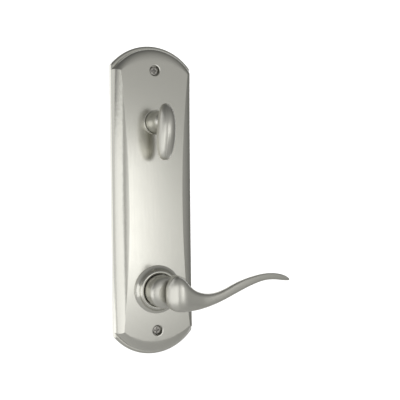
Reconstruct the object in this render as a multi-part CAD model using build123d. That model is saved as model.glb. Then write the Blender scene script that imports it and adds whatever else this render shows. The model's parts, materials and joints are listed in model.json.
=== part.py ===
"""Interior trim of an interconnect lockset: escutcheon, wave lever, oval turnpiece and the linkage between them.

Millimetres. X runs to the right, Z up, and the front of the trim faces -Y. The door's face is the plane Y = 0.
A depth in this file is the distance in front of the door, so a point at depth d lies at Y = -d.
"""

import os
from math import acos, asin, cos, degrees, pi, radians, sin, sqrt, tan

from build123d import *

# Points on each curve of a lofted section
SECTION_POINTS = 12

# Escutcheon
PLATE_WIDTH = 69.85
PLATE_HEIGHT = 261.0
END_RISE = 17.0
LIP_DEPTH = 7.5
END_LIP = 2.7
SIDE_LIP = 0.15
LIP_ROUND = 2.0
LIP_TURN = 85.0
LIP_SECTIONS = 4
PANEL_DEPTH = 16.0
WAIST_INSET = 11.3
CORNER_SIDE_INSET = 5.5
CORNER_END_INSET = 6.0
APEX_INSET = 19.7
END_FULLNESS = 3.0
BEVEL_TURN = 62.0
BEVEL_SECTIONS = 8
BEVEL_CROWDING = 1.5
PLATE_WALL = 2.5

# The two working axes
AXIS_SPACING = 139.7
LEVER_END_INSET = 56.7
LEVER_AXIS_Z = LEVER_END_INSET - PLATE_HEIGHT / 2
TURN_AXIS_Z = LEVER_AXIS_Z + AXIS_SPACING

# Fits
SEAT_FIT = 0.02
RUNNING_FIT = 0.05
SIDE_GAP = 0.3
END_PLAY = 0.1

# Face screws and their posts
SCREW_END_INSET = 21.6
SCREW_HEAD_R = 3.8
SCREW_HEAD_THICK = 1.9
SCREW_HEAD_ROUND = 1.1
SCREW_SHANK_R = 2.05
SCREW_TIP_GAP = 0.5
SCREW_SUNK = 2.6
SCREW_RECESS_R = 4.3
RECESS_EDGE = 0.8
SCREW_BOSS_R = 6.4
SCREW_SEAT_THICK = 2.8
POST_R = 5.0
POST_TAIL_R = 3.0
DRIVER_CROSS_LENGTH = 4.4
DRIVER_CROSS_WIDTH = 1.0
DRIVER_CROSS_DEPTH = 1.2

# Mounting plate
MOUNT_PLATE_THICK = 2.0
MOUNT_PLATE_GAP = 0.3
BOLT_HOLE_R = 2.6
LEVER_BOLT_SPACING = 44.45
TURN_BOLT_SPACING = 38.1
SPINDLE_HOLE_R = 9.0
TAIL_HOLE_R = 7.0

# Lever rose and bushing
ROSE_R = 20.2
ROSE_RIM = 1.0
ROSE_RISE = 6.0
ROSE_RIDGE_R = 14.9
ROSE_ROUND = 0.9
ROSE_FLOOR = 1.4
SLEEVE_GAP = 0.4
BUSHING_WALL = 2.0
BUSHING_FLANGE_R = 14.0
FLANGE_THICK = 1.2

# Lever
SLEEVE_R = 13.2
SLEEVE_LENGTH = 16.5
SLEEVE_DOME = 4.8
SLEEVE_CROWN_R = 7.5
SLEEVE_EDGE = 0.6
SHANK_R = 9.0
SHANK_SOCKET = 12.0
SPINDLE_SIDE = 8.0
SPINDLE_SOCKET = 10.0
SPINDLE_REACH = 45.0
SPINDLE_CHAMFER = 1.0
LEVER_BACK_SQUARENESS = 2.2
# Stations along the lever: reach from the axis, top and bottom about the axis, back and front from the panel,
# how square the front is, and the share of the depth in front of the crest
LEVER_STATIONS = (
    (-3.2, 5.5, -5.0, 28.8, 34.2, 2.4, 0.5),
    (-2.4, 9.8, -8.4, 26.6, 37.2, 2.5, 0.5),
    (-0.2, 13.6, -11.2, 24.4, 40.4, 2.6, 0.5),
    (3.0, 16.0, -13.0, 22.6, 43.2, 2.8, 0.48),
    (7.5, 14.3, -13.5, 22.2, 44.6, 3.0, 0.45),
    (13.0, 8.4, -13.4, 23.6, 44.6, 3.0, 0.43),
    (19.0, 3.2, -13.1, 25.6, 44.2, 3.1, 0.4),
    (25.5, 0.3, -12.2, 27.6, 43.4, 3.2, 0.37),
    (33.0, -0.6, -10.4, 29.2, 42.7, 3.3, 0.34),
    (43.0, 1.1, -7.2, 30.4, 42.0, 3.4, 0.31),
    (56.0, 6.3, -2.0, 31.0, 41.2, 3.5, 0.28),
    (71.0, 10.5, 3.6, 31.0, 40.4, 3.5, 0.27),
    (84.0, 12.2, 6.5, 30.6, 39.2, 3.5, 0.27),
    (95.0, 11.5, 6.1, 30.0, 37.6, 3.4, 0.28),
    (103.5, 9.2, 4.7, 29.4, 35.8, 3.1, 0.32),
    (109.2, 5.8, 4.2, 30.4, 33.4, 2.6, 0.4),
)

# Lever cam, its drive pins and the parts that hold the shank
CAM_THICK = 2.0
CAM_HUB_R = 11.5
CAM_SQUARE = 12.4
LOBE_REACH = 15.0
LOBE_R = 4.2
DRIVE_PIN_R = 2.2
TAB_WIDTH = 5.0
TAB_OUTER = 20.4
TAB_THICK = 2.0
TAB_TIP_GAP = 0.5
RING_THICK = 0.8
RING_GROOVE_DEPTH = 1.0
RING_OUTER_R = 11.6
RING_MOUTH = 9.0
WASHER_THICK = 0.55
LEVER_WASHER_R = 13.0

# Return spring
SPRING_WIRE_R = 0.8
SPRING_COIL_R = 16.2
SPRING_TURNS = 2
SPRING_PITCH = 1.65
SPRING_LEG_END = 26.0
SPRING_POST_R = 2.3
SPRING_POST_OUT = 23.4

# Turnpiece
COLLAR_R = 10.4
COLLAR_WALL = 0.8
COLLAR_HEIGHT = 1.3
COLLAR_ROUND = 0.3
NECK_R = 9.2
NECK_STRAIGHT = 2.4
NECK_TIP_R = 6.8
NECK_LENGTH = 14.0
NECK_DOME = 6.0
NECK_CROWN_R = 2.5
TURN_STEM_R = 5.5
TURN_SQUARE = 7.6
TURN_BUSHING_WALL = 1.75
TURN_FLANGE_R = 10.0
TURN_WASHER_R = 9.0
TURN_CLIP_R = 8.4
CLIP_MOUTH = 7.2
TAIL_WIDTH = 5.5
TAIL_THICK = 2.0
TAIL_SOCKET = 10.0
TAIL_REACH = 42.0
# Stations down the oval: height about the axis, centre from the panel, half depth, half thickness
OVAL_STATIONS = (
    (13.2, 22.9, 1.9, 1.3),
    (11.7, 23.4, 4.7, 3.2),
    (8.7, 24.2, 7.0, 4.7),
    (4.1, 25.0, 8.8, 5.9),
    (-1.9, 25.2, 9.9, 6.6),
    (-9.3, 24.5, 10.3, 6.9),
    (-17.6, 23.0, 10.0, 6.7),
    (-23.4, 21.9, 9.0, 6.0),
    (-27.7, 21.2, 7.3, 4.9),
    (-30.3, 20.8, 5.2, 3.5),
    (-31.7, 20.6, 2.3, 1.5),
)
OVAL_SQUARENESS = 2.0

# Pinion and link bar
GEAR_MODULE = 1.25
PINION_TEETH = 12
PRESSURE_ANGLE = 20.0
PINION_ADDENDUM = 1.0
RACK_ADDENDUM = 0.8
TOOTH_ROOT = 0.35
TOOTH_SEAT = 0.6
BACKLASH = 0.3
PINION_THICK = 2.4
TURN_TRAVEL = 90.0
BAR_THICK = 2.0
BAR_WIDTH = 11.5
BAR_GAP = 0.45
BAR_TOP_MARGIN = 3.0
BAR_CORNER_R = 2.0
RACK_TEETH_BELOW = 2
RACK_TEETH_ABOVE = 5
FOOT_HEIGHT = 8.0
FOOT_HALF = 18.5
FOOT_CLEARANCE = 3.6
FOOT_ARCH_R = 7.0
RIVET_R = 3.0
RIVET_TAIL_R = 2.0
RIVET_HEAD_R = 4.8
RIVET_HEAD_THICK = 1.2
RIVET_HEAD_ROUND = 0.6
SLOT_CLEARANCE = 0.1
UPPER_RIVET_RISE = 111.8
LOWER_RIVET_RISE = 49.8

# Depths that follow from the sizes above
PANEL_BACK = PANEL_DEPTH - PLATE_WALL
FLANGE_DEPTH = PANEL_BACK - FLANGE_THICK
WASHER_FRONT = FLANGE_DEPTH - END_PLAY
WASHER_BACK = WASHER_FRONT - WASHER_THICK
RING_FRONT = WASHER_BACK - END_PLAY
RING_BACK = RING_FRONT - RING_THICK
SCREW_SEAT = PANEL_DEPTH - SCREW_SUNK - SCREW_HEAD_THICK
BOSS_BACK = SCREW_SEAT - SCREW_SEAT_THICK
BAR_BACK = MOUNT_PLATE_THICK + BAR_GAP
BAR_FRONT = BAR_BACK + BAR_THICK
SLEEVE_BACK = PANEL_DEPTH + ROSE_FLOOR + SLEEVE_GAP
SLEEVE_SHOULDER = SLEEVE_BACK + SLEEVE_LENGTH
SCREW_Z = PLATE_HEIGHT / 2 - SCREW_END_INSET
PANEL_WAIST_HALF = PLATE_WIDTH / 2 - WAIST_INSET
PANEL_CORNER_HALF = PLATE_WIDTH / 2 - CORNER_SIDE_INSET
PANEL_CORNER_Z = PLATE_HEIGHT / 2 - END_RISE - CORNER_END_INSET
PANEL_APEX_Z = PLATE_HEIGHT / 2 - APEX_INSET
SPRING_LEG_X = TAB_WIDTH / 2 + SIDE_GAP + SPRING_WIRE_R
SPRING_LEAN = asin(SPRING_LEG_X / SPRING_COIL_R)
SPRING_RISE = (SPRING_TURNS - SPRING_LEAN / pi) * SPRING_PITCH
CAM_FRONT = PANEL_BACK - 2 * SIDE_GAP - 2 * SPRING_WIRE_R - SPRING_RISE
CAM_DEPTH = CAM_FRONT - CAM_THICK
PITCH_R = GEAR_MODULE * PINION_TEETH / 2
BAR_TRAVEL = PITCH_R * radians(TURN_TRAVEL)
BUSHING_R = SHANK_R + RUNNING_FIT + BUSHING_WALL
TURN_BUSHING_R = TURN_STEM_R + RUNNING_FIT + TURN_BUSHING_WALL
RACK_ROOT_X = PITCH_R + PINION_ADDENDUM + TOOTH_ROOT
FOOT_BOTTOM_Z = LEVER_AXIS_Z + FOOT_CLEARANCE + BAR_TRAVEL
SLOT_X = RACK_ROOT_X + BAR_WIDTH / 2
UPPER_RIVET_Z = LEVER_AXIS_Z + UPPER_RIVET_RISE
LOWER_RIVET_Z = LEVER_AXIS_Z + LOWER_RIVET_RISE


def front_plane(depth):
    """Sketch plane at a depth, with sketch X to the right, sketch Y up and its normal out of the front."""
    return Plane((0, -depth, 0), x_dir=(1, 0, 0), z_dir=(0, -1, 0))


def slab(sketch, back, front):
    """Extrude a sketch in X and Z from one depth to another."""
    return extrude(front_plane(back) * sketch, amount=front - back)


def disc(radius, back, front, z, x=0):
    return slab(Pos(x, z) * Circle(radius), back, front)


def block(width, height, back, front, z, x=0):
    return slab(Pos(x, z) * Rectangle(width, height), back, front)


def ring(inner, outer, back, front, z):
    return slab(Pos(0, z) * (Circle(outer) - Circle(inner)), back, front)


def turned(edges, z):
    """Revolve a closed profile of (radius, depth) edges about the working axis at height z."""
    half_plane = Plane((0, 0, z), x_dir=(1, 0, 0), z_dir=(0, 0, -1))
    return revolve(half_plane * make_face(edges), axis=Axis((0, 0, z), (0, -1, 0)))


def plate_sizes(side_inset, end_inset):
    """Half width, corner height and apex height of the plate's outline, with its sides and ends moved in."""
    half = PLATE_WIDTH / 2
    radius = (half**2 + END_RISE**2) / (2 * END_RISE)
    centre_z = PLATE_HEIGHT / 2 - radius
    inner_half = half - side_inset
    corner_z = centre_z + sqrt((radius - end_inset) ** 2 - inner_half**2)
    return inner_half, corner_z, PLATE_HEIGHT / 2 - end_inset


def four_sided(waist_half, corner_half, corner_z, apex_z):
    """Outline with arched ends; its sides are straight, or bowed in to the waist."""

    def side(sign):
        foot = (sign * corner_half, -sign * corner_z)
        head = (sign * corner_half, sign * corner_z)
        if abs(waist_half - corner_half) < 1e-6:
            return Line(foot, head)
        return ThreePointArc(foot, (sign * waist_half, 0), head)

    def end(sign):
        start = (sign * corner_half, sign * corner_z)
        return ThreePointArc(start, (0, sign * apex_z), (-sign * corner_half, sign * corner_z))

    return make_face([side(1), end(1), side(-1), end(-1)])


def plate_outline(inset):
    half, corner_z, apex_z = plate_sizes(inset, inset)
    return four_sided(half, half, corner_z, apex_z)


def raised_form(inset):
    """The raised form inside the end lips, or the hollow inside it at one wall's inset.

    Its ends rise steeply and roll over into the panel; its sides rise from the plate's own and end at an edge.
    """
    foot_half, foot_corner_z, foot_apex_z = plate_sizes(SIDE_LIP + inset, END_LIP + inset)
    foot_depth = LIP_DEPTH - LIP_ROUND
    full_turn = radians(BEVEL_TURN)
    sections = []
    for step in range(BEVEL_SECTIONS):
        turn = full_turn * (1 - (1 - step / (BEVEL_SECTIONS - 1)) ** BEVEL_CROWDING)
        rise = sin(turn) / sin(full_turn)
        side_in = (1 - cos(turn)) / (1 - cos(full_turn))
        end_in = 1 - sqrt(max(0.0, 1 - rise**END_FULLNESS))

        def between(foot, panel, inward):
            return foot + (panel - inset - foot) * inward

        outline = four_sided(
            between(foot_half, PANEL_WAIST_HALF, side_in),
            between(foot_half, PANEL_CORNER_HALF, side_in),
            between(foot_corner_z, PANEL_CORNER_Z, end_in),
            between(foot_apex_z, PANEL_APEX_Z, end_in),
        )
        depth = foot_depth + (PANEL_DEPTH - foot_depth) * rise - inset
        sections.append(front_plane(depth) * outline)
    return loft(sections)


def rounded_lip():
    """The plate's outer edge, turned over in a quarter round up to the lip."""
    sections = []
    for step in range(LIP_SECTIONS):
        turn = radians(LIP_TURN) * step / (LIP_SECTIONS - 1)
        depth = LIP_DEPTH - LIP_ROUND + LIP_ROUND * sin(turn) / sin(radians(LIP_TURN))
        sections.append(front_plane(depth) * plate_outline(LIP_ROUND * (1 - cos(turn))))
    return loft(sections)


def escutcheon():
    body = slab(plate_outline(0), 0, LIP_DEPTH - LIP_ROUND) + rounded_lip() + raised_form(0)
    body -= slab(plate_outline(PLATE_WALL), 0, LIP_DEPTH - PLATE_WALL)
    body -= raised_form(PLATE_WALL)
    for z in (SCREW_Z, -SCREW_Z):
        body += disc(SCREW_BOSS_R, BOSS_BACK, PANEL_BACK, z)
        body -= disc(SCREW_SHANK_R + SIDE_GAP, BOSS_BACK, PANEL_DEPTH, z)
        mouth = PANEL_DEPTH - RECESS_EDGE
        profile = Polyline(
            (0, SCREW_SEAT),
            (SCREW_RECESS_R, SCREW_SEAT),
            (SCREW_RECESS_R, mouth),
            (SCREW_RECESS_R + 2 * RECESS_EDGE, mouth + 2 * RECESS_EDGE),
            (0, mouth + 2 * RECESS_EDGE),
            close=True,
        )
        body -= turned(profile, z)
    body -= disc(BUSHING_R + SEAT_FIT, 0, PANEL_DEPTH, LEVER_AXIS_Z)
    body -= disc(TURN_BUSHING_R + SEAT_FIT, 0, PANEL_DEPTH, TURN_AXIS_Z)
    spring_post_back = CAM_FRONT + SIDE_GAP
    return body + disc(SPRING_POST_R, spring_post_back, PANEL_BACK, LEVER_AXIS_Z + SPRING_POST_OUT)


def mounting_plate():
    plate = slab(plate_outline(PLATE_WALL + MOUNT_PLATE_GAP), 0, MOUNT_PLATE_THICK)

    def drill(radius, z, x=0):
        return disc(radius, 0, MOUNT_PLATE_THICK, z, x)

    plate -= drill(SPINDLE_HOLE_R, LEVER_AXIS_Z)
    plate -= drill(TAIL_HOLE_R, TURN_AXIS_Z)
    for side in (-1, 1):
        plate -= drill(BOLT_HOLE_R, LEVER_AXIS_Z, side * LEVER_BOLT_SPACING / 2)
        plate -= drill(BOLT_HOLE_R, TURN_AXIS_Z + side * TURN_BOLT_SPACING / 2)
        plate -= drill(POST_TAIL_R + SEAT_FIT, side * SCREW_Z)
    for z in (UPPER_RIVET_Z, LOWER_RIVET_Z):
        plate -= drill(RIVET_TAIL_R + SEAT_FIT, z, SLOT_X)
    return plate


def post(z):
    pillar = disc(POST_R, MOUNT_PLATE_THICK, BOSS_BACK, z) + disc(POST_TAIL_R, 0, MOUNT_PLATE_THICK, z)
    return pillar - disc(SCREW_SHANK_R + SEAT_FIT, MOUNT_PLATE_THICK, BOSS_BACK, z)


def face_screw(z):
    head_top = SCREW_SEAT + SCREW_HEAD_THICK
    dome = fillet(
        disc(SCREW_HEAD_R, SCREW_SEAT, head_top, z).faces().sort_by(Axis.Y)[0].edges(),
        SCREW_HEAD_ROUND,
    )
    screw = dome + disc(SCREW_SHANK_R, MOUNT_PLATE_THICK + SCREW_TIP_GAP, SCREW_SEAT, z)
    cross_floor = head_top - DRIVER_CROSS_DEPTH
    screw -= block(DRIVER_CROSS_LENGTH, DRIVER_CROSS_WIDTH, cross_floor, head_top, z)
    return screw - block(DRIVER_CROSS_WIDTH, DRIVER_CROSS_LENGTH, cross_floor, head_top, z)


def flanged_bushing(bore, outer, flange, front, z):
    tube = ring(bore, outer, PANEL_BACK, front, z)
    return tube + ring(bore, flange, FLANGE_DEPTH, PANEL_BACK, z)


def lever_bushing():
    front = PANEL_DEPTH + ROSE_FLOOR
    return flanged_bushing(SHANK_R + RUNNING_FIT, BUSHING_R, BUSHING_FLANGE_R, front, LEVER_AXIS_Z)


def turn_bushing():
    bore = TURN_STEM_R + RUNNING_FIT
    return flanged_bushing(bore, TURN_BUSHING_R, TURN_FLANGE_R, PANEL_DEPTH, TURN_AXIS_Z)


def lever_rose():
    bore = BUSHING_R + SEAT_FIT
    well = SLEEVE_R + SLEEVE_GAP
    top = PANEL_DEPTH + ROSE_RISE
    rim = PANEL_DEPTH + ROSE_RIM
    shoulder = top - 2 * ROSE_RIM
    floor = PANEL_DEPTH + ROSE_FLOOR
    ridge_foot = ROSE_RIDGE_R + 2 * ROSE_RIM
    lip = ROSE_R - ROSE_RIM
    edges = [
        Line((bore, PANEL_DEPTH), (ROSE_R, PANEL_DEPTH)),
        Line((ROSE_R, PANEL_DEPTH), (ROSE_R, rim)),
        Line((ROSE_R, rim), (lip, rim + ROSE_RIM / 2)),
        Spline((lip, rim + ROSE_RIM / 2), (ridge_foot, shoulder), tangents=((-1, 0.5), (-0.35, 1))),
        Spline((ridge_foot, shoulder), (ROSE_RIDGE_R, top), tangents=((-0.2, 1), (-1, 0))),
        Spline((ROSE_RIDGE_R, top), (well, top - ROSE_ROUND), tangents=((-1, 0), (-0.2, -1))),
        Line((well, top - ROSE_ROUND), (well, floor)),
        Line((well, floor), (bore, floor)),
        Line((bore, floor), (bore, PANEL_DEPTH)),
    ]
    return turned(edges, LEVER_AXIS_Z)


def rounded_section(crest_x, centre_y, right, left, half_y, right_squareness, left_squareness):
    """Closed outline of two curves that meet at a crest above and below; more squareness makes a side flatter."""

    def half(sign, width, squareness):
        points = [(crest_x, centre_y - sign * half_y)]
        for step in range(1, SECTION_POINTS):
            angle = pi * step / SECTION_POINTS
            across = sin(angle) ** (2 / squareness)
            upward = abs(cos(angle)) ** (2 / squareness)
            if step * 2 < SECTION_POINTS:
                upward = -upward
            points.append((crest_x + sign * width * across, centre_y + sign * half_y * upward))
        points.append((crest_x, centre_y + sign * half_y))
        return Spline(points, tangents=((sign, 0), (-sign, 0)))

    return make_face([half(1, right, right_squareness), half(-1, left, left_squareness)])


def lever_section(reach, top, bottom, back, front, front_squareness, front_share):
    """One section across the lever: flat towards the front, rounder towards the door."""
    plane = Plane((reach, -PANEL_DEPTH, LEVER_AXIS_Z), x_dir=(0, -1, 0), z_dir=(-1, 0, 0))
    ahead = (front - back) * front_share
    return plane * rounded_section(
        front - ahead,
        (top + bottom) / 2,
        ahead,
        front - back - ahead,
        (top - bottom) / 2,
        front_squareness,
        LEVER_BACK_SQUARENESS,
    )


def lever():
    sections = [lever_section(*station) for station in LEVER_STATIONS]
    arm = loft(sections)
    crown = SLEEVE_SHOULDER + SLEEVE_DOME
    socket_r = SHANK_R + SEAT_FIT
    socket_end = SLEEVE_BACK + SHANK_SOCKET
    profile = [
        Line((socket_r, SLEEVE_BACK), (SLEEVE_R - SLEEVE_EDGE, SLEEVE_BACK)),
        Line((SLEEVE_R - SLEEVE_EDGE, SLEEVE_BACK), (SLEEVE_R, SLEEVE_BACK + SLEEVE_EDGE)),
        Line((SLEEVE_R, SLEEVE_BACK + SLEEVE_EDGE), (SLEEVE_R, SLEEVE_SHOULDER)),
        Spline((SLEEVE_R, SLEEVE_SHOULDER), (SLEEVE_CROWN_R, crown), tangents=((0, 1), (-1, 0.25))),
        Line((SLEEVE_CROWN_R, crown), (0, crown)),
        Line((0, crown), (0, socket_end)),
        Line((0, socket_end), (socket_r, socket_end)),
        Line((socket_r, socket_end), (socket_r, SLEEVE_BACK)),
    ]
    return turned(profile, LEVER_AXIS_Z) + arm


def lever_shank():
    end = SLEEVE_BACK + SHANK_SOCKET
    tube = disc(SHANK_R, CAM_FRONT, end, LEVER_AXIS_Z)
    tube += block(CAM_SQUARE, CAM_SQUARE, CAM_DEPTH, CAM_FRONT, LEVER_AXIS_Z)
    tube -= ring(SHANK_R - RING_GROOVE_DEPTH, SHANK_R + RING_GROOVE_DEPTH, RING_BACK, RING_FRONT, LEVER_AXIS_Z)
    bore = SPINDLE_SIDE + 2 * RUNNING_FIT
    return tube - block(bore, bore, CAM_DEPTH, end, LEVER_AXIS_Z)


def lever_spindle():
    bar = block(SPINDLE_SIDE, SPINDLE_SIDE, -SPINDLE_REACH, SLEEVE_BACK + SPINDLE_SOCKET, LEVER_AXIS_Z)
    return chamfer(bar.faces().sort_by(Axis.Y)[-1].edges(), SPINDLE_CHAMFER)


def lever_cam():
    hub = Circle(CAM_HUB_R)
    for side in (-1, 1):
        hub += Pos(side * LOBE_REACH, 0) * Circle(LOBE_R)
    hub += Rectangle(2 * LOBE_REACH, 2 * LOBE_R)
    hub += Pos(0, TAB_OUTER / 2) * Rectangle(TAB_WIDTH, TAB_OUTER)
    hub -= Rectangle(CAM_SQUARE + 2 * RUNNING_FIT, CAM_SQUARE + 2 * RUNNING_FIT)
    cam = slab(Pos(0, LEVER_AXIS_Z) * hub, CAM_DEPTH, CAM_FRONT)
    tab_z = LEVER_AXIS_Z + TAB_OUTER - TAB_THICK / 2
    cam += block(TAB_WIDTH, TAB_THICK, CAM_FRONT, PANEL_BACK - TAB_TIP_GAP, tab_z)
    for side in (-1, 1):
        cam -= disc(DRIVE_PIN_R + SEAT_FIT, CAM_DEPTH, CAM_FRONT, LEVER_AXIS_Z, side * LOBE_REACH)
    return cam


def drive_pin(side):
    return disc(DRIVE_PIN_R, BAR_FRONT + SIDE_GAP, CAM_FRONT, LEVER_AXIS_Z, side * LOBE_REACH)


def open_ring(inner, outer, back, front, z, mouth):
    band = ring(inner, outer, back, front, z)
    return band - block(mouth, outer, back, front, z - outer / 2)


def lever_retaining_ring():
    inner = SHANK_R - RING_GROOVE_DEPTH + RUNNING_FIT
    return open_ring(inner, RING_OUTER_R, RING_BACK + SEAT_FIT, RING_FRONT - SEAT_FIT, LEVER_AXIS_Z, RING_MOUTH)


def lever_thrust_washer():
    return ring(SHANK_R + RUNNING_FIT, LEVER_WASHER_R, WASHER_BACK, WASHER_FRONT, LEVER_AXIS_Z)


def return_spring():
    """Close-wound torsion spring; its two ends turn up beside the cam's tab and the cast post."""
    back = CAM_FRONT + SIDE_GAP + SPRING_WIRE_R
    coil = Helix(SPRING_PITCH, SPRING_RISE, SPRING_COIL_R, direction=(0, 0, 1))
    section = Plane(coil @ 0, z_dir=coil % 0) * Circle(SPRING_WIRE_R)
    wire = sweep(section, path=coil, is_frenet=True)
    # The coil is wound about Z from the X axis, then laid about the lever's axis with its start beside the tab
    start_dir = (-sin(SPRING_LEAN), 0, cos(SPRING_LEAN))
    laid = Plane((0, -back, LEVER_AXIS_Z), x_dir=start_dir, z_dir=(0, -1, 0))
    spring = laid * wire
    leg_start = SPRING_COIL_R * cos(SPRING_LEAN)
    for side, depth in ((-1, back), (1, back + SPRING_RISE)):
        foot = Plane((side * SPRING_LEG_X, -depth, LEVER_AXIS_Z + leg_start), z_dir=(0, 0, 1))
        spring += extrude(foot * Circle(SPRING_WIRE_R), amount=SPRING_LEG_END - leg_start)
    return spring


def turn_collar():
    top = PANEL_DEPTH + COLLAR_HEIGHT
    band = ring(COLLAR_R - COLLAR_WALL, COLLAR_R, PANEL_DEPTH, top, TURN_AXIS_Z)
    return fillet(band.faces().sort_by(Axis.Y)[0].edges(), COLLAR_ROUND)


def oval_section(height, centre, half_depth, half_thick):
    plane = Plane((0, -PANEL_DEPTH - centre, TURN_AXIS_Z + height), x_dir=(1, 0, 0), z_dir=(0, 0, 1))
    return plane * rounded_section(0, 0, half_thick, half_thick, half_depth, OVAL_SQUARENESS, OVAL_SQUARENESS)


def turnpiece():
    oval = loft([oval_section(*station) for station in OVAL_STATIONS])
    neck_back = PANEL_DEPTH + SIDE_GAP
    neck_front = PANEL_DEPTH + NECK_LENGTH
    crown = neck_front + NECK_DOME
    straight = neck_back + NECK_STRAIGHT
    profile = [
        Line((0, neck_back), (NECK_R, neck_back)),
        Line((NECK_R, neck_back), (NECK_R, straight)),
        Spline((NECK_R, straight), (NECK_TIP_R, neck_front), tangents=((0, 1), (0, 1))),
        Spline((NECK_TIP_R, neck_front), (NECK_CROWN_R, crown), tangents=((0, 1), (-1, 0.2))),
        Line((NECK_CROWN_R, crown), (0, crown)),
        Line((0, crown), (0, neck_back)),
    ]
    body = turned(profile, TURN_AXIS_Z)
    pinion_front = BAR_BACK + PINION_THICK
    body += disc(TURN_STEM_R, pinion_front, neck_back, TURN_AXIS_Z)
    body += block(TURN_SQUARE, TURN_SQUARE, BAR_BACK, pinion_front, TURN_AXIS_Z)
    body -= ring(TURN_STEM_R - RING_GROOVE_DEPTH, TURN_STEM_R + RING_GROOVE_DEPTH, RING_BACK, RING_FRONT, TURN_AXIS_Z)
    slot_end = BAR_BACK + TAIL_SOCKET
    slot_width = TAIL_WIDTH + 2 * RUNNING_FIT
    slot_thick = TAIL_THICK + 2 * RUNNING_FIT
    body -= block(slot_width, slot_thick, BAR_BACK, slot_end, TURN_AXIS_Z)
    return body + oval


def involute(base, radius):
    """Polar angle of the involute of a base circle, where it reaches a radius."""
    roll = acos(min(1.0, base / radius))
    return tan(roll) - roll


def turn_pinion():
    base = PITCH_R * cos(radians(PRESSURE_ANGLE))
    root = PITCH_R - RACK_ADDENDUM - TOOTH_ROOT
    tip = PITCH_R + PINION_ADDENDUM
    half_tooth = (pi * GEAR_MODULE - BACKLASH) / 4 / PITCH_R
    tooth_turn = 2 * pi / PINION_TEETH

    def flank(radius, sign):
        lead = half_tooth + involute(base, PITCH_R) - involute(base, max(radius, base))
        return (radius * cos(sign * lead), radius * sin(sign * lead))

    flank_radii = [base + (tip - base) * step / 4 for step in range(5)]
    rising = [flank(radius, -1) for radius in flank_radii]
    falling = [flank(radius, 1) for radius in reversed(flank_radii)]
    tooth = make_face(
        [
            Line(flank(root - TOOTH_SEAT, -1), rising[0]),
            Spline(rising),
            Line(rising[-1], falling[0]),
            Spline(falling),
            Line(falling[-1], flank(root - TOOTH_SEAT, 1)),
            Line(flank(root - TOOTH_SEAT, 1), flank(root - TOOTH_SEAT, -1)),
        ]
    )
    gear = Circle(root)
    for index in range(PINION_TEETH):
        gear += Rot(0, 0, degrees(tooth_turn * (index + 0.5))) * tooth
    hole = TURN_SQUARE + 2 * RUNNING_FIT
    gear -= Rectangle(hole, hole)
    return slab(Pos(0, TURN_AXIS_Z) * gear, BAR_BACK, BAR_BACK + PINION_THICK - END_PLAY)


def turn_tailpiece():
    return block(TAIL_WIDTH, TAIL_THICK, -TAIL_REACH, BAR_BACK + TAIL_SOCKET, TURN_AXIS_Z)


def turn_clip():
    inner = TURN_STEM_R - RING_GROOVE_DEPTH + RUNNING_FIT
    return open_ring(inner, TURN_CLIP_R, RING_BACK + SEAT_FIT, RING_FRONT - SEAT_FIT, TURN_AXIS_Z, CLIP_MOUTH)


def turn_washer():
    return ring(TURN_STEM_R + RUNNING_FIT, TURN_WASHER_R, WASHER_BACK, WASHER_FRONT, TURN_AXIS_Z)


def link_bar():
    """Rack at the top, two guide slots, and a foot that spans both drive pins with an arch for the spindle."""
    pitch = pi * GEAR_MODULE
    right = RACK_ROOT_X + BAR_WIDTH
    top_z = TURN_AXIS_Z + RACK_TEETH_ABOVE * pitch + pitch / 2 + BAR_TOP_MARGIN
    foot_top = FOOT_BOTTOM_Z + FOOT_HEIGHT
    stem = Pos(RACK_ROOT_X + BAR_WIDTH / 2, (top_z + FOOT_BOTTOM_Z) / 2) * Rectangle(
        BAR_WIDTH, top_z - FOOT_BOTTOM_Z
    )
    foot_mid = (right - FOOT_HALF) / 2
    foot = Pos(foot_mid, (FOOT_BOTTOM_Z + foot_top) / 2) * Rectangle(right + FOOT_HALF, FOOT_HEIGHT)
    outline = stem + foot
    outline = fillet(outline.vertices(), BAR_CORNER_R)
    outline -= Pos(0, LEVER_AXIS_Z + BAR_TRAVEL) * Circle(FOOT_ARCH_R)
    slope = tan(radians(PRESSURE_ANGLE))
    half_pitch_tooth = (pitch - BACKLASH) / 4
    tip_x = PITCH_R - RACK_ADDENDUM
    tip_half = half_pitch_tooth - RACK_ADDENDUM * slope
    root_half = half_pitch_tooth + (RACK_ROOT_X - PITCH_R) * slope
    inside_x = RACK_ROOT_X + BAR_CORNER_R
    for index in range(-RACK_TEETH_BELOW, RACK_TEETH_ABOVE + 1):
        z = TURN_AXIS_Z + index * pitch
        outline += make_face(
            Polyline(
                (inside_x, z - root_half),
                (RACK_ROOT_X, z - root_half),
                (tip_x, z - tip_half),
                (tip_x, z + tip_half),
                (RACK_ROOT_X, z + root_half),
                (inside_x, z + root_half),
                close=True,
            )
        )
    slot_width = 2 * (RIVET_R + SLOT_CLEARANCE)
    for rivet_z in (UPPER_RIVET_Z, LOWER_RIVET_Z):
        slot = SlotCenterToCenter(BAR_TRAVEL + 2 * SLOT_CLEARANCE, slot_width, rotation=90)
        outline -= Pos(SLOT_X, rivet_z + BAR_TRAVEL / 2) * slot
    return slab(outline, BAR_BACK, BAR_FRONT)


def guide_rivet(z):
    head_back = BAR_FRONT + SIDE_GAP
    rivet = disc(RIVET_TAIL_R, 0, MOUNT_PLATE_THICK, z, SLOT_X)
    rivet += disc(RIVET_R, MOUNT_PLATE_THICK, head_back, z, SLOT_X)
    head = disc(RIVET_HEAD_R, head_back, head_back + RIVET_HEAD_THICK, z, SLOT_X)
    return rivet + fillet(head.faces().sort_by(Axis.Y)[0].edges(), RIVET_HEAD_ROUND)


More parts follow.
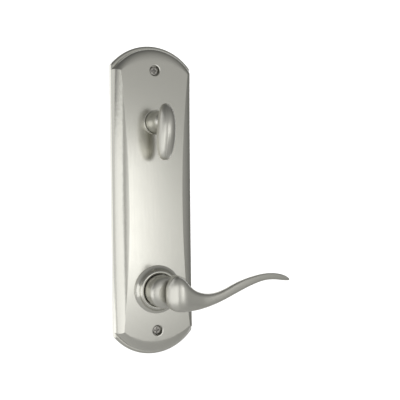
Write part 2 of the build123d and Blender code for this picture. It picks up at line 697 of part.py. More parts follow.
def main():
    nodes = {
        "escutcheon": escutcheon(),
        "mounting_plate": mounting_plate(),
        "upper_post": post(SCREW_Z),
        "lower_post": post(-SCREW_Z),
        "upper_face_screw": face_screw(SCREW_Z),
        "lower_face_screw": face_screw(-SCREW_Z),
        "lever_rose": lever_rose(),
        "lever_bushing": lever_bushing(),
        "turn_collar": turn_collar(),
        "turn_bushing": turn_bushing(),
        "upper_guide_rivet": guide_rivet(UPPER_RIVET_Z),
        "lower_guide_rivet": guide_rivet(LOWER_RIVET_Z),
        "return_spring": return_spring(),
        "lever": lever(),
        "lever_shank": lever_shank(),
        "lever_spindle": lever_spindle(),
        "lever_cam": lever_cam(),
        "left_drive_pin": drive_pin(-1),
        "right_drive_pin": drive_pin(1),
        "lever_retaining_ring": lever_retaining_ring(),
        "lever_thrust_washer": lever_thrust_washer(),
        "turnpiece": turnpiece(),
        "turn_pinion": turn_pinion(),
        "turn_tailpiece": turn_tailpiece(),
        "turn_clip": turn_clip(),
        "turn_washer": turn_washer(),
        "link_bar": link_bar(),
    }
    os.makedirs("parts", exist_ok=True)
    for name, solid in nodes.items():
        export_step(solid, f"parts/{name}.step")


if __name__ == "__main__":
    main()
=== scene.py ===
"""Looks of an interconnect lockset's interior trim: a finish for each piece, and a studio to see it in.

Metres. X runs to the right, Z up, and the front of the trim faces -Y. The door's face is the plane Y = 0.
"""

import json
from math import cos, pi, radians, sin
from typing import NamedTuple

import bpy
import numpy as np
from mathutils import Matrix, Vector

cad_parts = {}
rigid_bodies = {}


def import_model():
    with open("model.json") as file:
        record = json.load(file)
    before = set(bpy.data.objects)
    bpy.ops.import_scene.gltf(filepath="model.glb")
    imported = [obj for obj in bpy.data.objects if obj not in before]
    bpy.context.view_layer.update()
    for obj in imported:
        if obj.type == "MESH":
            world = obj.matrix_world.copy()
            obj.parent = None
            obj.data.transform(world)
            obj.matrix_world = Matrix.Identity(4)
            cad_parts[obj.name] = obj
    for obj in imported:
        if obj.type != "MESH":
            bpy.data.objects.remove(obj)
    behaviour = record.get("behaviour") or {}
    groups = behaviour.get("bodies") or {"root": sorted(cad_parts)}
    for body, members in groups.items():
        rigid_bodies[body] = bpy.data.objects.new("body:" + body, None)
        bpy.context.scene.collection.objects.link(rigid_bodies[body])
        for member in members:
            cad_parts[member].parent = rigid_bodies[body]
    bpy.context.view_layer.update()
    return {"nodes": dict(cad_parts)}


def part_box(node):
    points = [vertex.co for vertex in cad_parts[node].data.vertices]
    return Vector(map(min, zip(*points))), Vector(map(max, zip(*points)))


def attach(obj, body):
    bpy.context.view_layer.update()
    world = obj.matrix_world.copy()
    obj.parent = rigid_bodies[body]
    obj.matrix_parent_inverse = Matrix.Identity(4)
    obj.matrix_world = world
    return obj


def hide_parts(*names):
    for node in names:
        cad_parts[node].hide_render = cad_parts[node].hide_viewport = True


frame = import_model()

bl_info = {
    "name": "Lockset trim looks",
    "version": (1, 0, 0),
    "blender": (4, 5, 0),
    "location": "View3D > Sidebar > Lockset",
    "description": "Gives a lockset's interior trim its metal finishes and a plain studio",
    "category": "Material",
}

# Colours that wear, oil and tarnish bring to the metals, and the painted shade of the screws' recesses
POLISHED_NICKEL = (0.80, 0.79, 0.735, 1)
RECESS_PAINTED_SHADE = (0.10, 0.095, 0.085, 1)
WORN_SCREW = (0.72, 0.70, 0.66, 1)
YELLOW_ZINC = (0.66, 0.64, 0.56, 1)
DULL_ZINC = (0.34, 0.35, 0.36, 1)
BRIGHT_ZINC = (0.74, 0.75, 0.76, 1)
OILED_STEEL = (0.22, 0.205, 0.185, 1)
BRIGHT_STEEL = (0.62, 0.615, 0.61, 1)
DRAWN_WIRE = (0.36, 0.355, 0.35, 1)
BROWN_BRASS = (0.42, 0.26, 0.10, 1)
BRIGHT_BRASS = (0.90, 0.74, 0.45, 1)

# Colours of the studio's light
WHITE = (1, 1, 1, 1)
ROOM_WHITE = (1.0, 1.0, 0.98, 1)

# Cycles per metre of clouds, crystals and stains
NICKEL_CLOUDS = 55.0
ZINC_CLOUDS = 70.0
ZINC_CRYSTALS = 420.0
OIL_STAINS = 90.0
FLOOR_MOTTLE = 6.0

# Cycles per metre of turning and drawing marks: across the radius, along the depth and with the height
SCREW_RINGS = (9000.0, 9000.0, 40.0)
BRASS_RINGS = (7000.0, 7000.0, 40.0)
WIRE_LINES = (6000.0, 6000.0, 60.0)

# How far a corner's shelter reaches
CASTING_CREVICE = 0.004
LEVER_CREVICE = 0.008
SCREW_CREVICE = 0.0025
BRASS_CREVICE = 0.003

# How strongly painted shade darkens the lever's crevices, between its sleeve and hub
LEVER_PAINTED_SHADE = 0.8
ZINC_ROUGHNESS = 0.30
STEEL_ROUGHNESS = 0.30
MASK_SAMPLES = 6


class Wear(NamedTuple):
    """How strongly the turning rings, corners and edges of a turned piece show, each from 0 to 1."""

    rings: float
    corners: float
    edges: float
    roughness: float
    rougher_rings: float
    rougher_corners: float


# On the screws, corners sets how strongly painted shade darkens the driver recesses
SCREW_WEAR = Wear(
    rings=0.15, corners=0.8, edges=0.5, roughness=0.24, rougher_rings=0.10, rougher_corners=0.2
)
BRASS_WEAR = Wear(
    rings=0.25, corners=0.55, edges=0.5, roughness=0.24, rougher_rings=0.12, rougher_corners=0.15
)


class Shade:
    """A value that varies over a surface; arithmetic on it adds Math nodes to its finish."""

    def __init__(self, finish, socket):
        self.finish = finish
        self.socket = socket

    def combine(self, operation, first, second):
        sockets = {"Value": first, "Value_001": second}
        return self.finish.add("ShaderNodeMath", {"operation": operation}, sockets)["Value"]

    def __add__(self, other):
        return self.combine("ADD", self, other)

    def __radd__(self, other):
        return self.combine("ADD", other, self)

    def __sub__(self, other):
        return self.combine("SUBTRACT", self, other)

    def __rsub__(self, other):
        return self.combine("SUBTRACT", other, self)

    def __mul__(self, other):
        return self.combine("MULTIPLY", self, other)


class Finish:
    """One node tree, of a material or of the world, and the calls that fill it."""

    STREAK_ROUGHNESS = 0.55
    RING_DRIFT = 0.02

    def __init__(self, owner):
        self.owner = owner
        owner.use_nodes = True
        self.tree = owner.node_tree
        self.tree.nodes.clear()

    def add(self, kind, settings=None, sockets=None):
        """Add a node, set its settings, then give its sockets values or links; returns its outputs."""
        node = self.tree.nodes.new(kind)
        for name, setting in (settings or {}).items():
            setattr(node, name, setting)
        inputs = {socket.identifier: socket for socket in node.inputs}
        for name, value in (sockets or {}).items():
            if isinstance(value, Shade):
                self.tree.links.new(value.socket, inputs[name])
            else:
                inputs[name].default_value = value
        return {socket.identifier: Shade(self, socket) for socket in node.outputs}

    def blend(self, amount, first, second):
        """Mix two colours by an amount from 0 to 1."""
        sockets = {"Factor_Float": amount, "A_Color": first, "B_Color": second}
        return self.add("ShaderNodeMix", {"data_type": "RGBA"}, sockets)["Result_Color"]

    def between(self, value, low, high):
        """0 at one value, 1 at another, and held inside that range."""
        sockets = {"Value": value, "From Min": low, "From Max": high}
        return self.add("ShaderNodeMapRange", {"clamp": True}, sockets)["Result"]

    def clouds(self, place, scale, detail):
        """Noise without a direction; scale is in cycles per metre."""
        sockets = {"Vector": place, "Scale": scale, "Detail": detail}
        return self.add("ShaderNodeTexNoise", None, sockets)["Fac"]

    def streaks(self, place, stretch, detail, shift=0.0):
        """Noise drawn out along the axis whose stretch is smallest; stretch is in cycles per metre."""
        sockets = {"Vector": place, "Scale": stretch, "Location": (shift, shift, 0)}
        moved = self.add("ShaderNodeMapping", None, sockets)["Vector"]
        sockets = {"Vector": moved, "Scale": 1.0, "Detail": detail, "Roughness": self.STREAK_ROUGHNESS}
        return self.add("ShaderNodeTexNoise", None, sockets)["Fac"]

    def round_about(self, axis_z):
        """Place on a turned piece, about an axis at a height: radius, depth and a little of the height."""
        place = self.add("ShaderNodeTexCoord")["Object"]
        parts = self.add("ShaderNodeSeparateXYZ", None, {"Vector": place})
        across = self.add("ShaderNodeCombineXYZ", None, {"X": parts["X"], "Z": parts["Z"] - axis_z})["Vector"]
        radius = self.add("ShaderNodeVectorMath", {"operation": "LENGTH"}, {"Vector": across})["Value"]
        sockets = {"X": radius, "Y": parts["Y"], "Z": parts["Z"] * self.RING_DRIFT}
        return self.add("ShaderNodeCombineXYZ", None, sockets)["Vector"]


def colour(name, words, default):
    return bpy.props.FloatVectorProperty(
        name=name, description=words, default=default, subtype="COLOR", size=3, min=0.0, max=1.0
    )


def share(name, words, default):
    return bpy.props.FloatProperty(
        name=name, description=words, default=default, subtype="FACTOR", min=0.0, max=1.0
    )


def length(name, words, default):
    return bpy.props.FloatProperty(name=name, description=words, default=default, unit="LENGTH", precision=5)


def angle(name, words, default):
    return bpy.props.FloatProperty(name=name, description=words, default=radians(default), subtype="ANGLE")


def brightness(name, words, default):
    return bpy.props.FloatProperty(name=name, description=words, default=default, min=0.0)


class FinishSettings(bpy.types.PropertyGroup):
    """Colours and grain of the trim's metals."""

    nickel_colour: colour("Satin nickel", "Warm grey of the plated castings", (0.72, 0.712, 0.655))
    nickel_shade: colour("Nickel shade", "Duller nickel in corners and along the grain", (0.55, 0.542, 0.49))
    nickel_roughness: share("Nickel roughness", "How far the satin grain spreads a reflection", 0.18)
    brushed: share("Hand brushing", "What it adds to the roughness of the lever and turnpiece", 0.14)
    # Painted shade: the dark colour laid into the lever's crevices
    crevice_shade_colour: colour("Soil", "Dark polish left in crevices that a cloth can't reach", (0.22, 0.215, 0.19))
    screw_colour: colour("Screw nickel", "Plating on the face screws", (0.50, 0.485, 0.45))
    zinc_colour: colour("Zinc plate", "Clear zinc on the hidden plate, posts and rivets", (0.60, 0.63, 0.66))
    steel_colour: colour("Plain steel", "Bare steel of the hidden working pieces", (0.46, 0.455, 0.45))
    spring_colour: colour("Spring steel", "Oil-tempered wire of the return spring", (0.20, 0.20, 0.215))
    brass_colour: colour("Bearing brass", "Brass of the bushings and the pinion", (0.78, 0.57, 0.27))
    grain_width: length("Grain width", "Width of one line of the satin grain", 0.00022)
    grain_length: length("Grain length", "Length of one line of the satin grain", 0.022)
    grain_depth: length("Grain depth", "Depth that the grain shows in the surface", 0.000012)
    edge_radius: length("Edge radius", "Softening of the edges by plating and polish", 0.00035)


class StageSettings(bpy.types.PropertyGroup):
    """Where the camera stands, and how bright the studio is."""

    camera_place: bpy.props.FloatVectorProperty(
        name="Camera place",
        description="Where the camera stands",
        default=(-0.18813, -0.53098, 0.02001),
        subtype="TRANSLATION",
        size=3,
    )
    camera_azimuth: angle("Azimuth", "Turn of the camera to the left of straight ahead", -23.88)
    camera_elevation: angle("Elevation", "How far above the level the camera looks from", 2.0)
    camera_roll: angle("Roll", "Tilt of the camera about its own line of sight", -0.51)
    camera_lens: bpy.props.FloatProperty(
        name="Lens", description="Focal length on a 36 mm sensor, in millimetres", default=58.87
    )
    floor_height: length("Floor height", "Height of the floor under the trim", -0.60)
    floor_colour: colour("Floor", "Pale floor in front of the white sweep", (0.8, 0.8, 0.79))
    sweep_colour: colour("Sweep", "White sweep behind the trim", (0.9, 0.9, 0.9))
    room_brightness: brightness("Room", "Dim light from all round", 0.37)
    left_brightness: brightness("Left panel", "Brightness of the large soft panel at the left", 0.86)
    back_brightness: brightness("Back panel", "Brightness of the soft panel behind at the left", 0.58)
    top_brightness: brightness("Top panel", "Brightness of the dim panel above and behind", 0.42)
    fill_brightness: brightness("Front panels", "Brightness of the oval soft panels behind the camera", 0.63)
    key_brightness: brightness("Window", "Brightness of the small soft panel in front", 0.78)


def settings():
    return bpy.context.scene.lockset_finish


def new_finish(name):
    return Finish(bpy.data.materials.new(name))


def coat(finish, piece):
    """Put a finish on every material slot of a piece."""
    if not piece.material_slots:
        raise RuntimeError(f"{piece.name} has no material slot")
    for slot in piece.material_slots:
        slot.material = finish.owner


def dress(finish, *names):
    """Put a finish on CAD nodes."""
    for name in names:
        coat(finish, frame["nodes"][name])


def metal(finish, base, roughness, height):
    """A metal surface: soft edges, and a fine relief given by a height from 0 to 1."""
    look = settings()
    soft = finish.add("ShaderNodeBevel", {"samples": MASK_SAMPLES}, {"Radius": look.edge_radius})["Normal"]
    sockets = {"Strength": 1.0, "Distance": look.grain_depth, "Height": height, "Normal": soft}
    relief = finish.add("ShaderNodeBump", None, sockets)["Normal"]
    sockets = {"Base Color": base, "Metallic": 1.0, "Roughness": roughness, "Normal": relief}
    surface = finish.add("ShaderNodeBsdfPrincipled", None, sockets)["BSDF"]
    finish.add("ShaderNodeOutputMaterial", None, {"Surface": surface})


def edge_mask(finish):
    """1 along sharp edges, where handling polishes the plating, and 0 on open faces."""
    open_face = 0.995
    full_edge = 0.90
    wider = 2.5
    reach = wider * settings().edge_radius
    soft = finish.add("ShaderNodeBevel", {"samples": MASK_SAMPLES}, {"Radius": reach})["Normal"]
    true = finish.add("ShaderNodeNewGeometry")["True Normal"]
    sockets = {"Vector": soft, "Vector_001": true}
    facing = finish.add("ShaderNodeVectorMath", {"operation": "DOT_PRODUCT"}, sockets)["Value"]
    return finish.between(facing, open_face, full_edge)


def corner_mask(finish, reach):
    """1 deep in corners and recesses, by ambient occlusion, and 0 in the open; it lays the painted shade."""
    open_face = 0.75
    full_corner = 0.25
    sockets = {"Distance": reach}
    open_sky = finish.add("ShaderNodeAmbientOcclusion", {"samples": MASK_SAMPLES}, sockets)["AO"]
    return finish.between(open_sky, open_face, full_corner)


def satin_nickel(name, place_of, stretch, softer=0.0, painted_shade=0.0, crevice=CASTING_CREVICE):
    """Satin-plated casting: fine grain along one direction, cloudy plating, polished edges and dull corners.

    A hand-brushed piece is softer, by what that adds to its roughness, and a piece can be given painted
    shade in its crevices: a dark colour laid in by the corner mask.
    """
    broad_share = 0.12
    broad_shift = 4.7
    most_dulled = 0.22
    dull_corners = 0.3
    polished_edges = 0.35
    taken_off = 0.06
    look = settings()
    finish = new_finish(name)
    place = place_of(finish)
    fine = finish.streaks(place, stretch, 2.0)
    broad = finish.streaks(place, tuple(value * broad_share for value in stretch), 3.0, broad_shift)
    cloud = finish.clouds(whole_place(finish), NICKEL_CLOUDS, 4.0)
    edge = edge_mask(finish)
    corner = corner_mask(finish, crevice)
    marks = fine * 0.35 + broad * 0.35 + cloud * 0.3
    dull = finish.between(marks, 0.30, 0.75) * most_dulled
    base = finish.blend(dull + corner * dull_corners, (*look.nickel_colour, 1), (*look.nickel_shade, 1))
    base = finish.blend(edge * polished_edges, base, POLISHED_NICKEL)
    # Painted shade: crevices darkened towards a dark colour by the corner mask
    base = finish.blend(corner * painted_shade, base, (*look.crevice_shade_colour, 1))
    spread = look.nickel_roughness + softer - taken_off
    roughness = spread + fine * 0.06 + broad * 0.04 + cloud * 0.04 - edge * 0.05 + corner * 0.10
    metal(finish, base, roughness, fine * 0.9 + broad * 0.1)
    return finish


def turned_metal(name, node, rings, crevice, wear, fresh, tarnish_and_shade, worn):
    """A turned piece: rings round its axis, a colour in its corners and wear along its edges."""
    finish = new_finish(name)
    ring = finish.streaks(finish.round_about(axis_height(node)), rings, 2.0)
    corner = corner_mask(finish, crevice)
    edge = edge_mask(finish)
    # Corner colour: painted shade in the screws' recesses, tarnish on the brass
    base = finish.blend(corner * wear.corners + ring * wear.rings, (*fresh, 1), tarnish_and_shade)
    base = finish.blend(edge * wear.edges, base, worn)
    metal(finish, base, wear.roughness + ring * wear.rougher_rings + corner * wear.rougher_corners, ring)
    dress(finish, node)


def grain_stretch(along):
    """Cycles per metre across and along the grain, for grain that runs along one axis."""
    look = settings()
    across = 1 / look.grain_width
    return tuple(1 / look.grain_length if axis == along else across for axis in "XYZ")


def whole_place(finish):
    return finish.add("ShaderNodeTexCoord")["Object"]


def axis_height(node):
    """Height of the working axis that a round piece is turned about."""
    low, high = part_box(node)
    return (low.z + high.z) / 2


class PlateForm:
    """Height of the plate's raised front over the door, for one shape of its rolled ends."""

    HALF_WIDTH = 0.034925
    HALF_HEIGHT = 0.1305
    END_RISE = 0.017
    END_LIP = 0.0027
    SIDE_LIP = 0.00015
    FOOT_DEPTH = 0.0055
    LIP_DEPTH = 0.0075
    PANEL_DEPTH = 0.016
    WAIST_INSET = 0.0113
    CORNER_SIDE_INSET = 0.0055
    CORNER_END_INSET = 0.006
    BEVEL_TURN = radians(62)
    SAMPLES = 400
    SMALLEST = 1e-12

    def __init__(self, apex_inset, fullness):
        radius = (self.HALF_WIDTH**2 + self.END_RISE**2) / (2 * self.END_RISE)
        foot_half = self.HALF_WIDTH - self.SIDE_LIP
        foot_corner = self.HALF_HEIGHT - radius + ((radius - self.END_LIP) ** 2 - foot_half**2) ** 0.5
        panel_corner = self.HALF_HEIGHT - self.END_RISE - self.CORNER_END_INSET
        self.rise = np.linspace(0, 1, self.SAMPLES)
        turn = np.arcsin(self.rise * sin(self.BEVEL_TURN))
        side_in = (1 - np.cos(turn)) / (1 - cos(self.BEVEL_TURN))
        end_in = 1 - np.sqrt(1 - self.rise**fullness)
        self.waist = foot_half + (self.SIDE_LIP - self.WAIST_INSET) * side_in
        self.corner_half = foot_half + (self.SIDE_LIP - self.CORNER_SIDE_INSET) * side_in
        self.corner = foot_corner + (panel_corner - foot_corner) * end_in
        self.apex = self.HALF_HEIGHT - self.END_LIP + (self.END_LIP - apex_inset) * end_in

    def risen(self, edges, places):
        """Share of the rise at which a family of edges, moving in, has come to each place."""
        passed = np.clip((edges > places[:, None]).sum(axis=1), 1, self.SAMPLES - 1)
        row = np.arange(len(places))
        before = edges[row, passed - 1]
        after = edges[row, passed]
        step = np.clip((before - places) / np.maximum(before - after, self.SMALLEST), 0, 1)
        return self.rise[passed - 1] + step * (self.rise[passed] - self.rise[passed - 1])

    def heights(self, x, z):
        """Depths over the door that the ends alone and the sides alone would reach at places x, z."""
        x = np.abs(x)
        z = np.abs(z)
        sagitta = self.apex - self.corner
        radius = (self.corner_half**2 + sagitta**2) / (2 * sagitta)
        ends = self.apex - radius + np.sqrt(np.maximum(radius**2 - x[:, None] ** 2, 0))
        sides = self.waist + (self.corner_half - self.waist) * (z[:, None] / self.corner) ** 2
        rise = self.PANEL_DEPTH - self.FOOT_DEPTH
        return self.FOOT_DEPTH + rise * self.risen(ends, z), self.FOOT_DEPTH + rise * self.risen(sides, x)

    def height(self, x, z):
        return np.minimum(*self.heights(x, z))


def mesh_points(mesh):
    points = np.empty(3 * len(mesh.vertices), dtype=np.float32)
    mesh.vertices.foreach_get("co", points)
    return points.reshape(-1, 3).astype(float)


def mesh_corners(mesh):
    """The vertex and the normal of each face corner."""
    vertex_of = np.empty(len(mesh.loops), dtype=np.int32)
    mesh.loops.foreach_get("vertex_index", vertex_of)
    normals = np.empty(3 * len(mesh.loops), dtype=np.float32)
    mesh.corner_normals.foreach_get("vector", normals)
    return vertex_of, normals.reshape(-1, 3).astype(float)


def unit(vectors):
    return vectors / np.linalg.norm(vectors, axis=1, keepdims=True)


def reshaped(name, node, points, triangles, normals):
    """A piece that stands for a CAD node, from points, triangles and a normal for each of their corners."""
    mesh = bpy.data.meshes.new(name)
    mesh.from_pydata(points, [], triangles, shade_flat=False)
    mesh.normals_split_custom_set(normals.tolist())
    mesh.materials.append(None)
    piece = bpy.data.objects.new(name, mesh)
    bpy.context.scene.collection.objects.link(piece)
    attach(piece, frame["nodes"][node].parent.name.removeprefix("body:"))
    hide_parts(node)
    return piece


def rolled_plate():
    """The plate with its ends rolled over in a band that follows their arch, in place of its CAD node."""
    end_zone = 0.100
    past_lip = 0.00005
    panel_half = 0.028
    surface_gap = 0.0003
    level_gap = 0.00002
    step = 0.00005
    drawn = PlateForm(apex_inset=0.0197, fullness=3.0)
    rolled = PlateForm(apex_inset=0.0132, fullness=4.0)
    mesh = frame["nodes"]["escutcheon"].data
    points = mesh_points(mesh)
    vertex_of, normals = mesh_corners(mesh)
    near_end = np.abs(points[:, 2]) > end_zone
    in_front = -points[:, 1] > PlateForm.LIP_DEPTH + past_lip
    chosen = np.flatnonzero(near_end & in_front)
    x, y, z = points[chosen].T
    end_depth, side_depth = drawn.heights(x, z)
    flat = (end_depth > PlateForm.PANEL_DEPTH - level_gap) & (np.abs(x) < panel_half)
    on_end = (np.abs(-y - end_depth) < surface_gap) & (flat | (end_depth < side_depth - level_gap))
    chosen = chosen[on_end]
    x = x[on_end]
    z = z[on_end]
    points[chosen, 1] = -np.maximum(rolled.height(x, z), -points[chosen, 1])
    slope_x = (rolled.height(x + step, z) - rolled.height(x - step, z)) / (2 * step)
    slope_z = (rolled.height(x, z + step) - rolled.height(x, z - step)) / (2 * step)
    by_vertex = np.zeros_like(points)
    by_vertex[chosen] = unit(np.stack([-slope_x, -np.ones_like(x), -slope_z], axis=1))
    turned = np.isin(vertex_of, chosen)
    normals[turned] = by_vertex[vertex_of[turned]]
    return reshaped("rolled_plate", "escutcheon", points, vertex_of.reshape(-1, 3), normals)


def rim_of(points, triangles):
    """The points round the edge of a patch of triangles, in order, one of each set that share a place."""
    decimals = 7
    _, first, spot_of = np.unique(np.round(points, decimals), axis=0, return_index=True, return_inverse=True)
    corners = first[spot_of.ravel()][triangles]
    edges = {edge for corner in corners.tolist() for edge in zip(corner, corner[1:] + corner[:1])}
    following = dict(edge for edge in edges if edge[::-1] not in edges)
    rim = [min(following)]
    while following[rim[-1]] != rim[0]:
        rim.append(following[rim[-1]])
    if len(rim) != len(following):
        raise RuntimeError("the patch has more than one edge")
    return np.array(rim)


def rounded_hub(points, triangles, normals):
    """Put a low dome in place of the flat end of the lever's hub; returns points, triangles and normals."""
    middle = np.array((-0.0032, -0.0475, -0.07355))
    half_depth = 0.0027
    half_height = 0.00525
    margin = 0.0001
    plane_gap = 0.000001
    dome = 0.0005
    rings = (0.8, 0.6, 0.4, 0.2)

    def facing(places):
        slope_y = 2 * dome * (places[:, 1] - middle[1]) / half_depth**2
        slope_z = 2 * dome * (places[:, 2] - middle[2]) / half_height**2
        return unit(np.stack([-np.ones(len(places)), slope_y, slope_z], axis=1))

    room = (plane_gap, half_depth + margin, half_height + margin)
    on_end = (np.abs(points - middle) < room).all(axis=1)
    flat = on_end[triangles].all(axis=1)
    rim = rim_of(points, triangles[flat])
    count = len(rim)
    towards = points[rim] - middle
    inner = [middle + part * towards - (dome * (1 - part**2), 0, 0) for part in rings]
    start = len(points)
    loops = [rim, *(start + count * ring + np.arange(count) for ring in range(len(rings)))]
    made = []
    for outer, closer in zip(loops, loops[1:]):
        after = np.roll(outer, -1)
        made.append(np.stack([outer, after, closer], axis=1))
        made.append(np.stack([after, np.roll(closer, -1), closer], axis=1))
    tip = np.full(count, start + count * len(rings))
    made.append(np.stack([loops[-1], np.roll(loops[-1], -1), tip], axis=1))
    made = np.vstack(made)
    points = np.vstack([points, *inner, middle - (dome, 0, 0)])
    corners = triangles[~flat].ravel()
    normals = normals[np.repeat(~flat, 3)]
    at_rim = on_end[corners]
    normals[at_rim] = facing(points[corners[at_rim]])
    normals = np.vstack([normals, facing(points[made.ravel()])])
    return points, np.vstack([triangles[~flat], made]), normals


def eased(values, low, high):
    """0 below a range, 1 above it and smooth between, and its slope."""
    part = np.clip((values - low) / (high - low), 0, 1)
    return part**2 * (3 - 2 * part), 6 * part * (1 - part) / (high - low)


def waved_lever():
    """The lever with a rounded hub and a front that falls from it to the arm, in place of its CAD node."""
    fall = 0.0038
    crest = -0.001
    arm = 0.027
    back = 0.044
    front = 0.060
    mesh = frame["nodes"]["lever"].data
    vertex_of, normals = mesh_corners(mesh)
    points, triangles, normals = rounded_hub(mesh_points(mesh), vertex_of.reshape(-1, 3), normals)
    along, along_slope = eased(points[:, 0], crest, arm)
    forward, forward_slope = eased(-points[:, 1], back, front)
    stretch_y = 1 - fall * along * forward_slope
    shear_x = fall * along_slope * forward
    points[:, 1] += fall * along * forward
    vertex_of = triangles.ravel()
    normals[:, 1] /= stretch_y[vertex_of]
    normals[:, 0] -= shear_x[vertex_of] * normals[:, 1]
    return reshaped("waved_lever", "lever", points, triangles, unit(normals))


class LOCKSET_OT_escutcheon(bpy.types.Operator):
    """Make the tall plate with its rolled ends and give it satin nickel, brushed from end to end"""

    bl_idname = "lockset.escutcheon"
    bl_label = "Escutcheon"

    def execute(self, context):
        coat(satin_nickel("satin_nickel_plate", whole_place, grain_stretch("Z")), rolled_plate())
        return {"FINISHED"}


class LOCKSET_OT_lever(bpy.types.Operator):
    """Make the lever and give it satin nickel, brushed along the arm"""

    bl_idname = "lockset.lever"
    bl_label = "Lever"

    def execute(self, context):
        brushed = settings().brushed
        grain = grain_stretch("X")
        # The lever's crevices are darkened by painted shade
        finish = satin_nickel("satin_nickel_lever", whole_place, grain, brushed, LEVER_PAINTED_SHADE, LEVER_CREVICE)
        coat(finish, waved_lever())
        return {"FINISHED"}


class LOCKSET_OT_turned_rings(bpy.types.Operator):
    """Give the lever's rose and the turnpiece's collar the fine rings that turning leaves"""

    bl_idname = "lockset.turned_rings"
    bl_label = "Rose and collar"

    def execute(self, context):
        grain = grain_stretch("Z")
        for node in ("lever_rose", "turn_collar"):
            height = axis_height(node)
            dress(satin_nickel(f"satin_nickel_{node}", lambda made: made.round_about(height), grain), node)
        return {"FINISHED"}


class LOCKSET_OT_turnpiece(bpy.types.Operator):
    """Give the oval turnpiece its satin nickel, brushed along its length"""

    bl_idname = "lockset.turnpiece"
    bl_label = "Turnpiece"

    def execute(self, context):
        brushed = settings().brushed
        dress(satin_nickel("satin_nickel_turnpiece", whole_place, grain_stretch("Z"), brushed), "turnpiece")
        return {"FINISHED"}


class LOCKSET_OT_face_screws(bpy.types.Operator):
    """Give the two face screws bright plating, with painted shade darkening their driver recesses"""

    bl_idname = "lockset.face_screws"
    bl_label = "Face screws"

    def execute(self, context):
        fresh = settings().screw_colour
        for node in ("upper_face_screw", "lower_face_screw"):
            name = f"screw_nickel_{node}"
            turned_metal(name, node, SCREW_RINGS, SCREW_CREVICE, SCREW_WEAR, fresh, RECESS_PAINTED_SHADE, WORN_SCREW)
        return {"FINISHED"}


class LOCKSET_OT_zinc_pieces(bpy.types.Operator):
    """Give the mounting plate, posts and rivets clear zinc plating with its faint cloudy spangle"""

    bl_idname = "lockset.zinc_pieces"
    bl_label = "Plate, posts and rivets"

    def execute(self, context):
        dull_corners = 0.4
        bright_edges = 0.4
        finish = new_finish("clear_zinc_plate")
        place = whole_place(finish)
        sockets = {"Vector": place, "Scale": ZINC_CRYSTALS}
        crystals = finish.add("ShaderNodeTexVoronoi", {"feature": "F1"}, sockets)["Color"]
        crystal = finish.add("ShaderNodeSeparateXYZ", None, {"Vector": crystals})
        cloud = finish.clouds(place, ZINC_CLOUDS, 5.0)
        rolled = finish.streaks(place, grain_stretch("Z"), 2.0)
        edge = edge_mask(finish)
        corner = corner_mask(finish, CASTING_CREVICE)
        tint = finish.blend(cloud, (*settings().zinc_colour, 1), YELLOW_ZINC)
        dull = crystal["X"] * 0.18 + rolled * 0.15 + corner * dull_corners
        base = finish.blend(dull, tint, DULL_ZINC)
        base = finish.blend(edge * bright_edges, base, BRIGHT_ZINC)
        metal(finish, base, ZINC_ROUGHNESS + crystal["Y"] * 0.08 + cloud * 0.10, rolled)
        dress(finish, "mounting_plate", "upper_post", "lower_post", "upper_guide_rivet", "lower_guide_rivet")
        return {"FINISHED"}


class LOCKSET_OT_steel_pieces(bpy.types.Operator):
    """Give the hidden working pieces drawn and stamped bare steel with a film of oil"""

    bl_idname = "lockset.steel_pieces"
    bl_label = "Working steel"

    def execute(self, context):
        bright_edges = 0.5
        rings = ("turn_clip", "turn_washer", "lever_retaining_ring", "lever_thrust_washer")
        stamped = ("link_bar", "lever_cam", *rings)
        drawn = ("lever_shank", "lever_spindle", "left_drive_pin", "right_drive_pin", "turn_tailpiece")
        for along, nodes in (("Z", stamped), ("Y", drawn)):
            finish = new_finish(f"plain_steel_along_{along.lower()}")
            place = whole_place(finish)
            drag = finish.streaks(place, grain_stretch(along), 3.0)
            stain = finish.between(finish.clouds(place, OIL_STAINS, 4.0), 0.5, 0.8)
            edge = edge_mask(finish)
            base = finish.blend(drag * 0.30 + stain * 0.30, (*settings().steel_colour, 1), OILED_STEEL)
            base = finish.blend(edge * bright_edges, base, BRIGHT_STEEL)
            metal(finish, base, STEEL_ROUGHNESS + drag * 0.12 - stain * 0.10, drag)
            dress(finish, *nodes)
        return {"FINISHED"}


class LOCKSET_OT_return_spring(bpy.types.Operator):
    """Give the return spring dark oil-tempered wire with bright drawn lines"""

    bl_idname = "lockset.return_spring"
    bl_label = "Return spring"

    def execute(self, context):
        finish = new_finish("spring_steel_wire")
        drag = finish.streaks(finish.round_about(axis_height("lever_rose")), WIRE_LINES, 3.0)
        bright = finish.between(drag, 0.45, 0.75)
        base = finish.blend(bright, (*settings().spring_colour, 1), DRAWN_WIRE)
        metal(finish, base, STEEL_ROUGHNESS + drag * 0.12, drag)
        dress(finish, "return_spring")
        return {"FINISHED"}


class LOCKSET_OT_brass_pieces(bpy.types.Operator):
    """Give the bushings and the pinion turned brass, browner in its corners"""

    bl_idname = "lockset.brass_pieces"
    bl_label = "Bushings and pinion"

    def execute(self, context):
        fresh = settings().brass_colour
        for node in ("lever_bushing", "turn_bushing", "turn_pinion"):
            name = f"bearing_brass_{node}"
            turned_metal(name, node, BRASS_RINGS, BRASS_CREVICE, BRASS_WEAR, fresh, BROWN_BRASS, BRIGHT_BRASS)
        return {"FINISHED"}


